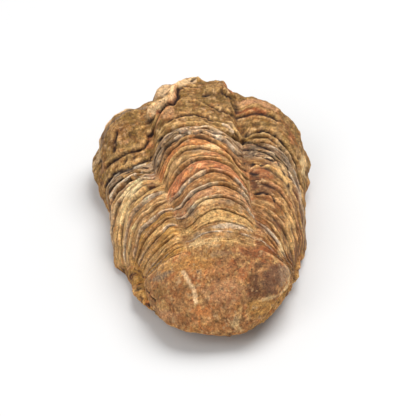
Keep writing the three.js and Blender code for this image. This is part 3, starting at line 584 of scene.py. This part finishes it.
# The dark marks sit on sunken lines, cracks and the hole, and are painted shade there
MARKS = [  # ink, strength, half width, rise, points in space or in plan
    ("pale", 0.9, 0.45, 0.12, [(-5.6, 10.4, 13.9), (-4.8, 8.9, 13.4), (-4.1, 7.4, 12.3),
        (-3.8, 5.9, 10.6)]),
    ("orange", 0.8, 0.25, -0.05, [(-3.4, 5.4, 10.1), (-3.3, 4.3, 8.1), (-3.3, 3.6, 6.2)]),
    ("dark", 0.9, 0.2, -0.4, [(-12.2, 16, 6), (-11.9, 14.6, 6.5), (-11.6, 13.4, 6.9)]),
    ("dark", 0.9, 0.2, -0.4, [(-11.5, 12.7, 6.7), (-10.9, 10.9, 7.2)]),
    ("slate", 0.9, 0.2, -0.2, [(1.15, 6.4, 12.9), (1.25, 6.4, 12.7)]),
    ("brown", 0.7, 0.14, -0.12, [(-0.9, 3.7, 7.2), (0.7, 3.4, 6.9), (2.1, 3.2, 7.1)]),
    ("cream", 0.5, 0.35, 0.1, [(8.7, 5.5, 10.1), (10.5, 6.3, 9.6), (12.3, 7.7, 9.3),
        (13.8, 9.9, 8.8), (14.6, 12, 9.5)]),
    ("cream", 0.5, 0.14, 0.05, [(2, 3.4, 7.7), (3, 2.9, 6.4), (3.7, 2.8, 5.1)]),
    ("cream", 0.5, 0.14, 0.05, [(3.2, 3.2, 7), (4, 2.9, 5.8), (4.4, 2.9, 5)]),
    ("brown", 0.4, 0.25, -0.1, [(5.4, 6, 11.5), (5.1, 4.4, 9), (4.4, 3.3, 6.4)]),
    ("pale", 1, 0.8, 0.2, [(-7.1, 55.2), (-6.1, 55.2), (-5.1, 55.3), (-3.6, 55.4), (-2.5, 56.3),
        (-2.8, 57.6), (-1.3, 59.6), (0.7, 62.4), (2.5, 63.4)]),
    ("pale", 0.9, 0.9, 0, [(-4.1, 57), (-4.8, 59.4), (-3.3, 59.6)]),
    ("pink", 0.9, 0.4, 0, [(-3.9, 54.9), (-2.3, 55.5), (-1.9, 57), (-2.2, 58.6)]),
    ("rust", 0.8, 0.3, -0.15, [(-6.1, 54.5), (-4.4, 54.2), (-2.7, 54.9), (-1.5, 56.3), (-1.4, 57.6)]),
    ("umber", 0.7, 0.3, -0.2, [(-1.5, 58.3), (-1, 59), (-0.2, 59.4)]),
    ("dark", 0.9, 0.35, -0.3, [(2.2, 63.3), (3.1, 63.8)]),
    ("rust", 0.5, 0.5, 0, [(-5.4, 53.6), (-6.5, 52.5), (-7.9, 51.3)]),
    ("slate", 0.9, 0.45, -0.15, [(-8.1, 59.2), (-9.5, 59.3), (-11.1, 59.4), (-12.4, 58),
        (-13.5, 56.6), (-15.3, 56.5), (-16.5, 56.1), (-17.5, 55.6), (-18.1, 54.3)]),
    ("pale", 0.8, 0.4, 0.15, [(-11, 60.3), (-13.3, 58.4), (-15.3, 58.2), (-16.9, 57.4),
        (-17.9, 57.5)]),
    ("pale", 0.7, 0.6, 0.1, [(-18, 57.2), (-18.8, 55)]),
    ("moss", 0.6, 0.7, 0, [(-9.6, 51.7), (-11, 52.2)]),
    ("ash", 0.9, 0.4, 0.35, [(6.8, 47.6), (7.4, 47.4), (8.1, 46.9)]),
    ("straw", 0.9, 0.45, 0.2, [(7.6, 47.9), (8.6, 47.8), (10, 48.2)]),
    ("dark", 0.8, 0.16, -0.2, [(8.9, 47.2), (10, 47.8), (10.6, 48.2)]),
    ("rust", 0.7, 0.4, 0, [(8.9, 60.5), (9.8, 60), (10.3, 59)]),
    ("ember", 0.75, 0.35, -0.15, [(10.9, 55.4), (11.8, 55.5), (13.2, 55.7), (14.9, 55.2),
        (16.3, 54.5)]),
    ("straw", 0.4, 0.5, 0.2, [(-7.2, 48), (-5.8, 49.4), (-4.6, 49.6), (-3, 48.6), (0, 47.6),
        (3, 47.2)]),
    ("brown", 0.6, 0.5, -0.1, [(22.5, 49.9), (21.7, 51.4), (20.2, 52.8), (19, 54.4)]),
    ("pink", 0.6, 0.7, 0, [(12.6, 58.2), (15.9, 56.9), (18.6, 55.6)]),
    ("dark", 1, 0.8, 0, [(10.9, 33.8, 18.1), (11.4, 33.7, 18.1)]),
    ("dark", 1, 0.32, -0.4, [(-8.2, 46.6, 13.6), (-9.5, 46.4, 13.5), (-12.4, 45.6, 12.5),
        (-14, 45.9, 11.6), (-15.8, 46.8, 10.2), (-17.1, 46.9, 8.1), (-17.7, 46.9, 6.5)]),
    ("dark", 1, 0.32, -0.4, [(-9.1, 44, 13.4), (-10.8, 44.3, 13), (-13.2, 44.6, 11.9),
        (-14.2, 44.1, 11.1), (-15.9, 44.4, 9.1), (-17.3, 45, 6.2)]),
    ("dark", 1, 0.32, -0.4, [(-10.1, 40.2, 14.3), (-11.9, 41.8, 12.9), (-13, 42, 12.1),
        (-14.4, 42.8, 10.8), (-15.3, 42.5, 9.7), (-16.7, 42.6, 7.3), (-17.4, 41.3, 4.8)]),
    ("ash", 0.9, 0.3, 0.15, [(-9.4, 45.4, 13.4), (-12.6, 45.3, 12.4), (-15.5, 46.2, 10.2),
        (-16.7, 46.2, 8.3)]),
    ("ash", 0.9, 0.3, 0.15, [(-10.4, 42.4, 13.5), (-12, 42.2, 12.8), (-13.9, 43, 11.3),
        (-15.5, 43.1, 9.5), (-16.9, 43.1, 6.9)]),
    ("dark", 1, 0.3, -0.35, [(10.7, 48.4, 15), (12.7, 47.7, 14.9), (15.4, 46, 14.4),
        (17.6, 44.1, 13.3), (19.2, 42.5, 11.8), (19.3, 37.5, 11.7)]),
    ("dark", 1, 0.3, -0.35, [(10.1, 45.4, 14.9), (12.4, 45.7, 14.7), (14.3, 44.8, 14.5),
        (16.1, 43.9, 14), (17.8, 41.8, 13), (19.1, 38.1, 12)]),
    ("dark", 1, 0.3, -0.35, [(12.4, 43.3, 15), (14.5, 41.6, 14.9), (17, 42.3, 13.5),
        (17.7, 38.6, 13.5), (18.2, 34.4, 13.4)]),
    ("dark", 1, 0.35, -0.4, [(9.5, 36.3, 18.5), (11.7, 37.9, 17.3), (12.8, 37, 17.2),
        (14.4, 38.5, 16.2)]),
    ("dark", 1, 0.32, -0.4, [(9.1, 27.1, 19.1), (10.6, 27.4, 18.1), (11.9, 28.3, 17.9),
        (13, 28, 17.5), (14.1, 26.3, 16.6)]),
    ("dark", 1, 0.3, -0.35, [(17.6, 49.6, 15.2), (19.2, 47.5, 13.6), (20.7, 46.6, 11.9),
        (21.3, 44.2, 10.2), (21.7, 41.4, 8.4)]),
    ("dark", 1, 0.3, -0.3, [(-8.1, 47.2, 13.7), (-7.3, 48.5, 15.1), (-5.9, 48, 17.7),
        (-4.1, 47.3, 19.6), (-2.3, 46.1, 20.9), (-0.6, 44.5, 22.2)]),
    ("dark", 1, 0.3, -0.3, [(-7.4, 44.2, 14.9), (-6.5, 44.8, 17), (-5.2, 45.6, 18.7),
        (-3.4, 44.4, 20.9), (-1.7, 41.5, 23.1), (0.5, 41.9, 23.5)]),
    ("dark", 1, 0.3, -0.3, [(-7.5, 40.8, 15.7), (-6.5, 40, 18.8), (-4.9, 40.2, 21.1),
        (-3.4, 41.7, 22), (-1.5, 41.2, 23.3), (0.5, 40.1, 24.1)]),
]


def ink(name):
    """A colour of the stone as linear light."""
    value = np.array(INKS[name]) / 255
    return np.where(value < 0.04045, value / 12.92, ((value + 0.055) / 1.055) ** 2.4)


def mix(colour, name, weight):
    weight = np.clip(weight, 0, 1)[..., None]
    return colour + (ink(name) - colour) * weight


def pale_and_highlight(colour, amount):
    """The colour paled towards cream: pale streaks in the stone, and painted highlights on raised
    parts.
    """
    amount = np.clip(amount, 0, 1)[..., None]
    return colour * (1 + 0.8 * amount) + (ink("cream") - colour) * 0.35 * amount


def box_mean(values, rows, columns):
    """Mean over the neighbours in the mesh grid."""
    for axis, reach in ((0, rows), (1, columns)):
        pads = [(0, 0), (0, 0)]
        pads[axis] = (reach + 1, reach)
        total = np.cumsum(np.pad(values, pads, mode="edge"), axis=axis)
        size = values.shape[axis]
        upper = np.take(total, np.arange(size) + 2 * reach + 1, axis=axis)
        lower = np.take(total, np.arange(size), axis=axis)
        values = (upper - lower) / (2 * reach + 1)
    return values


def thorax_colour(row, across, p):
    ring, place = ring_place(row)
    place = place + 0.03 * noise(p, 0.8, 61)
    left = ramp(across, -1, -1.06)
    right = ramp(across, 0.98, 1.04)
    lip = ramp(place, 0.22, 0.16) * (1 - right) + ramp(place, 0.72, 0.78) * right
    lip = lip * ramp(ring_noise(row, across, 0.5, 0.6, 65), -0.7, 0)
    lips = np.zeros(p.shape)
    bands = np.zeros(p.shape)
    for k, tones in enumerate(RING_TONES):
        here = (ring == k)[..., None]
        for weight, first in ((left, 0), (1 - left - right, 2), (right, 4)):
            lips = lips + here * weight[..., None] * ink(tones[first])
            bands = bands + here * weight[..., None] * ink(tones[first + 1])
    colour = bands + (lips - bands) * lip[..., None]
    # Painted shade in the grooves between the rings, broken up by noise
    depth, = along(GROOVE_SHADE, np.clip(row, 1, 2))
    broken = ramp(ring_noise(row, across, 0.5, 2, 63), -0.6, 0.2) * ramp(np.abs(across), 2, 1.85)
    groove = bump(np.minimum(place, 1 - place), 0.07)
    colour = mix(colour, "dark", depth * broken * groove * (1 + 0.4 * ramp(row, 1.7, 1.85)))
    threads = ramp(ring, 9, 10) * ramp(ring_noise(row, across, 0.7, 2, 64), -0.3, 0.3)
    return mix(colour, "dark", 0.9 * threads * bump(place - 0.5, 0.08))


def mottle(colour, p, flecks):
    """The colour with clouds of other inks."""
    for name, strength, size, seed in flecks:
        colour = mix(colour, name, strength * ramp(layered(p, size, seed, 3), 0.05, 0.75))
    return colour


def stone_colour(row, station, across, p, height):
    clouds, specks = layered(p, 1.6, 35, 3), layered(p, 0.5, 36, 2)
    streak = ring_noise(row, across, 0.8, 6, 43) + 0.6 * ring_noise(row, across, 1.6, 12, 44)

    head = mottle(np.broadcast_to(ink("olive"), p.shape), p, HEAD_FLECKS)
    tail = mottle(np.broadcast_to(ink("clay"), p.shape), p, TAIL_FLECKS)
    thorax = mottle(thorax_colour(row, across, p), p, THORAX_FLECKS)
    thorax = pale_and_highlight(thorax, 0.35 * ramp(streak, 0.25, 0.9))
    thorax = mix(thorax, "brown", 0.5 * ramp(-streak, 0.25, 0.9))
    blurred = ramp(np.abs(across), 1.3, 0.8)
    on_tail = ramp(row + 0.03 * clouds * blurred, 1.01 + 0.07 * blurred, 0.99)
    on_head = ramp(row, 1.995, 2.005)
    colour = thorax + (tail - thorax) * on_tail[..., None]
    colour = colour + (head - colour) * on_head[..., None]
    for name, strength, at, place, along_body, over in PATCHES:
        shape = np.exp(-((station - at) / along_body) ** 2 - ((across - place) / over) ** 2)
        colour = mix(colour, name, strength * ramp(shape + 0.25 * clouds + 0.2 * specks, 0.2, 0.65))
    # Marks of colour along lines; the dark ones are painted shade in sunken lines, cracks and the hole
    wavered = p + MARK_SWAY * sway(p)
    for name, strength, width, rise, points in MARKS:
        line = bump(line_distance(wavered, points), width)
        colour = mix(colour, name, strength * ramp(line + 0.15 * clouds + 0.15 * specks, 0.25, 0.6))
    # Painted shade along the head's creases and painted highlight along its ridges
    wavered = p + sway(p)
    for rise, width, points in HEAD_LINES:
        line = bump(line_distance(wavered, points), 0.7 * width) * ramp(row, 1.98, 2)
        strength = ramp(abs(rise), 0.2, 1.1) * ramp(width, 0.9, 0.5)
        colour = mix(colour, "dark" if rise < 0 else "straw", strength * line)

    rock_shows = is_rock(row, station, across)
    stone = mottle(np.broadcast_to(ink("ochre"), p.shape), p, ROCK_FLECKS)
    colour = colour + (stone - colour) * rock_shows[..., None]

    # Painted shade where the surface lies below its neighbours, painted highlight where it stands above
    # them
    hollow = box_mean(height, *SHADING_REACH) - height
    wide_hollow = box_mean(height, *WIDE_SHADING_REACH) - height
    colour = mix(colour, "dark", 0.85 * ramp(hollow, 0.04, 0.24) + 0.25 * ramp(wide_hollow, 0.2, 0.8))
    colour = pale_and_highlight(colour, 0.5 * ramp(-hollow, 0.03, 0.16))
    shade = 1 + 0.1 * clouds + 0.12 * layered(p, 0.6, 39, 2)
    return np.clip(colour * shade[..., None], 0.003, 0.9)


# ---------------------------------------- mesh
TAIL_ROWS, HEAD_ROWS = 61, 108
LOBE_COLUMNS, FLANK_COLUMNS, BELLY_COLUMNS = 42, 58, 16
RING_ROWS = (0, 0.03, 0.065, 0.1, 0.14, 0.18, 0.23, 0.3, 0.38, 0.46, 0.54, 0.62, 0.69, 0.74, 0.785,
             0.83, 0.87, 0.91, 0.945, 0.975)


def grid_lines():
    """The mesh's rows, tail to head, and its columns round the body."""
    tail = (np.arange(1, TAIL_ROWS) / TAIL_ROWS) ** 1.2
    thorax = (1 + (np.arange(SEGMENTS)[:, None] + np.array(RING_ROWS)) / SEGMENTS).ravel()
    head = 3 - (1 - np.arange(HEAD_ROWS) / HEAD_ROWS) ** 1.15
    rows = np.concatenate([tail, thorax, head])
    lobe = np.linspace(0, 1, LOBE_COLUMNS)[:-1]
    flank = 1 + np.linspace(0, 1, FLANK_COLUMNS)[:-1]
    belly = 2 + np.linspace(0, 1, BELLY_COLUMNS)[:-1] ** 1.3
    half = np.concatenate([lobe, flank, belly])
    columns = np.concatenate([[-3], -half[:0:-1], half])
    return rows, columns


def make_trilobite():
    rows, columns = grid_lines()
    row, across = np.meshgrid(rows, columns, indexing="ij")
    points, smooth, station, height = surface(row, across)
    colour = stone_colour(row, station, across, smooth, height)
    count = len(columns)
    tips = smooth_point(np.array([0.0, 3.0]), np.array([0.0, 0.0]))
    vertices = np.concatenate([points.reshape(-1, 3), tips])
    vertices = (vertices - np.array([ORIGIN[0], ORIGIN[1], 0])) * MM
    line, column = np.meshgrid(np.arange(len(rows) - 1), np.arange(count), indexing="ij")
    after = (column + 1) % count
    quads = np.stack([line * count + column, line * count + after,
                      (line + 1) * count + after, (line + 1) * count + column], -1).reshape(-1, 4)
    tail_tip, head_tip = len(vertices) - 2, len(vertices) - 1
    front = (len(rows) - 1) * count
    ends = [(tail_tip, (c + 1) % count, c) for c in range(count)]
    ends += [(front + c, front + (c + 1) % count, head_tip) for c in range(count)]
    mesh = bpy.data.meshes.new("trilobite_stone")
    mesh.from_pydata(vertices.tolist(), [], quads.tolist() + ends)
    mesh.polygons.foreach_set("use_smooth", np.ones(len(mesh.polygons), bool))
    streaky = ramp(row, 0.98, 1.1) * ramp(row, 2.01, 1.99) * (1 - is_rock(row, station, across))
    tints = np.ones((len(vertices), 4))
    tints[:-2, :3] = colour.reshape(-1, 3)
    neck = ramp(row, 1.98, 2.02) * ramp(row, 2.35, 2.2)
    tints[:-2, 3] = (0.12 + 0.88 * streaky + 0.5 * neck).ravel()
    tints[-2:, :3] = ink("brown")
    attribute = mesh.color_attributes.new("Tint", "FLOAT_COLOR", "POINT")
    attribute.data.foreach_set("color", tints.ravel())
    lines = np.zeros((len(vertices), 3))
    lines[:-2] = flow(row, across).reshape(-1, 3)
    attribute = mesh.attributes.new("Flow", "FLOAT_VECTOR", "POINT")
    attribute.data.foreach_set("vector", lines.ravel())
    mesh.update()
    piece = bpy.data.objects.new("trilobite_stone", mesh)
    bpy.context.collection.objects.link(piece)
    return piece


# ---------------------------------------- material
GRAIN, PITS, CHIPS, STAINS = 0.5, 0.28, 0.3, 1.3  # sizes, in mm
STREAK_SCALE = (0.7, 6, 1)    # streaks in a unit of flow along the rings, and over them
STAIN_TONE = (0.9, 0.62, 0.42)    # these multiply the colour under them
CHIP_TONE = (1.9, 1.85, 1.7)
PIT_TONE = (0.22, 0.16, 0.14)
GRAIN_SHADE, STREAK_SHADE = 0.38, 0.32  # how far they lighten and darken it
GRAIN_BUMP = (0.8, 0.35)      # strength, depth in mm
STREAK_BUMP = (0.8, 0.2)
CHIP_BUMP = (0.6, 0.12)
ROUGHNESS = (0.68, 0.9)
SPECULAR = 0.35


def stone_material():
    """Dull stone: the mesh's vertex colours, painted shade and highlights included, with grain, pits,
    chips, stains and streaks.
    """
    material = bpy.data.materials.new("trilobite_stone")
    material.use_nodes = True
    nodes, links = material.node_tree.nodes, material.node_tree.links
    shader = nodes["Principled BSDF"]
    place = nodes.new("ShaderNodeTexCoord").outputs["Object"]

    def speckle(scale, detail, where=place):
        texture = nodes.new("ShaderNodeTexNoise")
        texture.inputs["Scale"].default_value = scale
        texture.inputs["Detail"].default_value = detail
        texture.inputs["Roughness"].default_value = 0.65
        links.new(where, texture.inputs["Vector"])
        return texture.outputs["Fac"]

    def spread(value, from_low, from_high, low, high):
        node = nodes.new("ShaderNodeMapRange")
        ends = {"From Min": from_low, "From Max": from_high, "To Min": low, "To Max": high}
        for name, end in ends.items():
            node.inputs[name].default_value = end
        links.new(value, node.inputs["Value"])
        return node.outputs["Result"]

    def math_node(operation, first, second):
        node = nodes.new("ShaderNodeMath")
        node.operation = operation
        for value, socket in ((first, node.inputs[0]), (second, node.inputs[1])):
            if isinstance(value, float):
                socket.default_value = value
            else:
                links.new(value, socket)
        return node.outputs["Value"]

    def blend(factor, base, colour):
        node = nodes.new("ShaderNodeMix")
        node.data_type = "RGBA"
        links.new(factor, node.inputs["Factor"])
        if isinstance(base, tuple):
            node.inputs["A"].default_value = (*base, 1)
        else:
            links.new(base, node.inputs["A"])
        node.inputs["B"].default_value = (*colour, 1)
        return node.outputs["Result"]

    def bumped(height, strength, distance, normal=None):
        node = nodes.new("ShaderNodeBump")
        node.inputs["Strength"].default_value = strength
        node.inputs["Distance"].default_value = distance * MM
        links.new(height, node.inputs["Height"])
        if normal:
            links.new(normal, node.inputs["Normal"])
        return node.outputs["Normal"]

    tint = nodes.new("ShaderNodeAttribute")
    tint.attribute_name = "Tint"
    flow_line = nodes.new("ShaderNodeAttribute")
    flow_line.attribute_name = "Flow"
    stretch = nodes.new("ShaderNodeVectorMath")
    stretch.operation = "MULTIPLY"
    stretch.inputs[1].default_value = STREAK_SCALE
    links.new(flow_line.outputs["Vector"], stretch.inputs[0])

    grain = speckle(1 / (GRAIN * MM), 5)
    pits = speckle(1 / (PITS * MM), 3)
    chips = speckle(1 / (CHIPS * MM), 3)
    stains = speckle(1 / (STAINS * MM), 8)
    streaks = speckle(1.0, 4, stretch.outputs["Vector"])
    streak_shade = math_node("MULTIPLY", spread(streaks, 0.35, 0.65, -STREAK_SHADE, STREAK_SHADE),
                             tint.outputs["Alpha"])
    shade = math_node("MULTIPLY", spread(grain, 0.35, 0.65, 1 - GRAIN_SHADE, 1 + GRAIN_SHADE),
                      math_node("ADD", streak_shade, 1.0))
    coat = nodes.new("ShaderNodeVectorMath")
    coat.operation = "SCALE"
    links.new(tint.outputs["Color"], coat.inputs[0])
    links.new(shade, coat.inputs["Scale"])
    dark_spots = spread(pits, 0.56, 0.66, 0, 0.75)
    light_spots = spread(chips, 0.56, 0.68, 0, 0.5)
    tone = blend(spread(stains, 0.5, 0.62, 0, 0.6), (1, 1, 1), STAIN_TONE)
    tone = blend(light_spots, tone, CHIP_TONE)
    tone = blend(dark_spots, tone, PIT_TONE)
    finish = nodes.new("ShaderNodeVectorMath")
    finish.operation = "MULTIPLY"
    links.new(coat.outputs["Vector"], finish.inputs[0])
    links.new(tone, finish.inputs[1])
    links.new(finish.outputs["Vector"], shader.inputs["Base Color"])
    links.new(spread(grain, 0.3, 0.7, *ROUGHNESS), shader.inputs["Roughness"])
    shader.inputs["Specular IOR Level"].default_value = SPECULAR

    normal = bumped(grain, *GRAIN_BUMP)
    normal = bumped(math_node("MULTIPLY", streaks, tint.outputs["Alpha"]), *STREAK_BUMP, normal)
    normal = bumped(math_node("SUBTRACT", chips, dark_spots), *CHIP_BUMP, normal)
    links.new(normal, shader.inputs["Normal"])
    return material


trilobite = make_trilobite()
trilobite.data.materials.append(stone_material())
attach(trilobite, "root")
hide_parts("trilobite")


# ---------------------------------------- floor, light and camera
FLOOR_SIZE = 3                # in metres, as all of the stage is
FLOOR_COLOUR, FLOOR_ROUGHNESS = (0.66, 0.66, 0.66, 1), 0.9
WORLD_STRENGTH = 0.45
LIGHTS = [  # name, place, diameter, power in watts
    ("key", (0.18, 0.12, 0.57), 0.50, 3.9),
    ("fill", (-0.30, -0.28, 0.40), 0.40, 1.3),
]
LIGHT_TARGET = (0, 0, 0.01)
CAMERA_AZIMUTH = math.radians(7)
CAMERA_ELEVATION = math.radians(40)
CAMERA_DISTANCE = 0.5
FRAME_WIDTH = 0.0832          # width of the view at the target
CAMERA_TARGET = Vector((-0.2, -3.0, 10.8)) * MM
SENSOR_WIDTH = 36             # in mm


def add_floor():
    bpy.ops.mesh.primitive_plane_add(size=FLOOR_SIZE, location=(0, 0, 0))
    floor = bpy.context.object
    floor.name = "floor"
    material = bpy.data.materials.new("floor")
    material.use_nodes = True
    shader = material.node_tree.nodes["Principled BSDF"]
    shader.inputs["Base Color"].default_value = FLOOR_COLOUR
    shader.inputs["Roughness"].default_value = FLOOR_ROUGHNESS
    floor.data.materials.append(material)


def aim(thing, target):
    thing.rotation_euler = (Vector(target) - thing.location).to_track_quat("-Z", "Y").to_euler()


def add_light(name, location, size, power):
    light = bpy.data.lights.new(name, "AREA")
    light.shape = "DISK"
    light.size = size
    light.energy = power
    lamp = bpy.data.objects.new(name, light)
    lamp.location = location
    bpy.context.collection.objects.link(lamp)
    aim(lamp, LIGHT_TARGET)


def add_camera():
    camera = bpy.data.objects.new("camera", bpy.data.cameras.new("camera"))
    forward = Vector((math.sin(CAMERA_AZIMUTH) * math.cos(CAMERA_ELEVATION),
                      math.cos(CAMERA_AZIMUTH) * math.cos(CAMERA_ELEVATION),
                      -math.sin(CAMERA_ELEVATION)))
    camera.location = CAMERA_TARGET - forward * CAMERA_DISTANCE
    aim(camera, CAMERA_TARGET)
    camera.data.sensor_width = SENSOR_WIDTH
    camera.data.lens = SENSOR_WIDTH * CAMERA_DISTANCE / FRAME_WIDTH
    bpy.context.collection.objects.link(camera)
    bpy.context.scene.camera = camera


def light_world():
    world = bpy.data.worlds.new("studio")
    world.use_nodes = True
    background = world.node_tree.nodes["Background"]
    background.inputs["Color"].default_value = (1, 1, 1, 1)
    background.inputs["Strength"].default_value = WORLD_STRENGTH
    bpy.context.scene.world = world


add_floor()
light_world()
for light_settings in LIGHTS:
    add_light(*light_settings)
add_camera()
bpy.context.scene.view_settings.view_transform = "Standard"
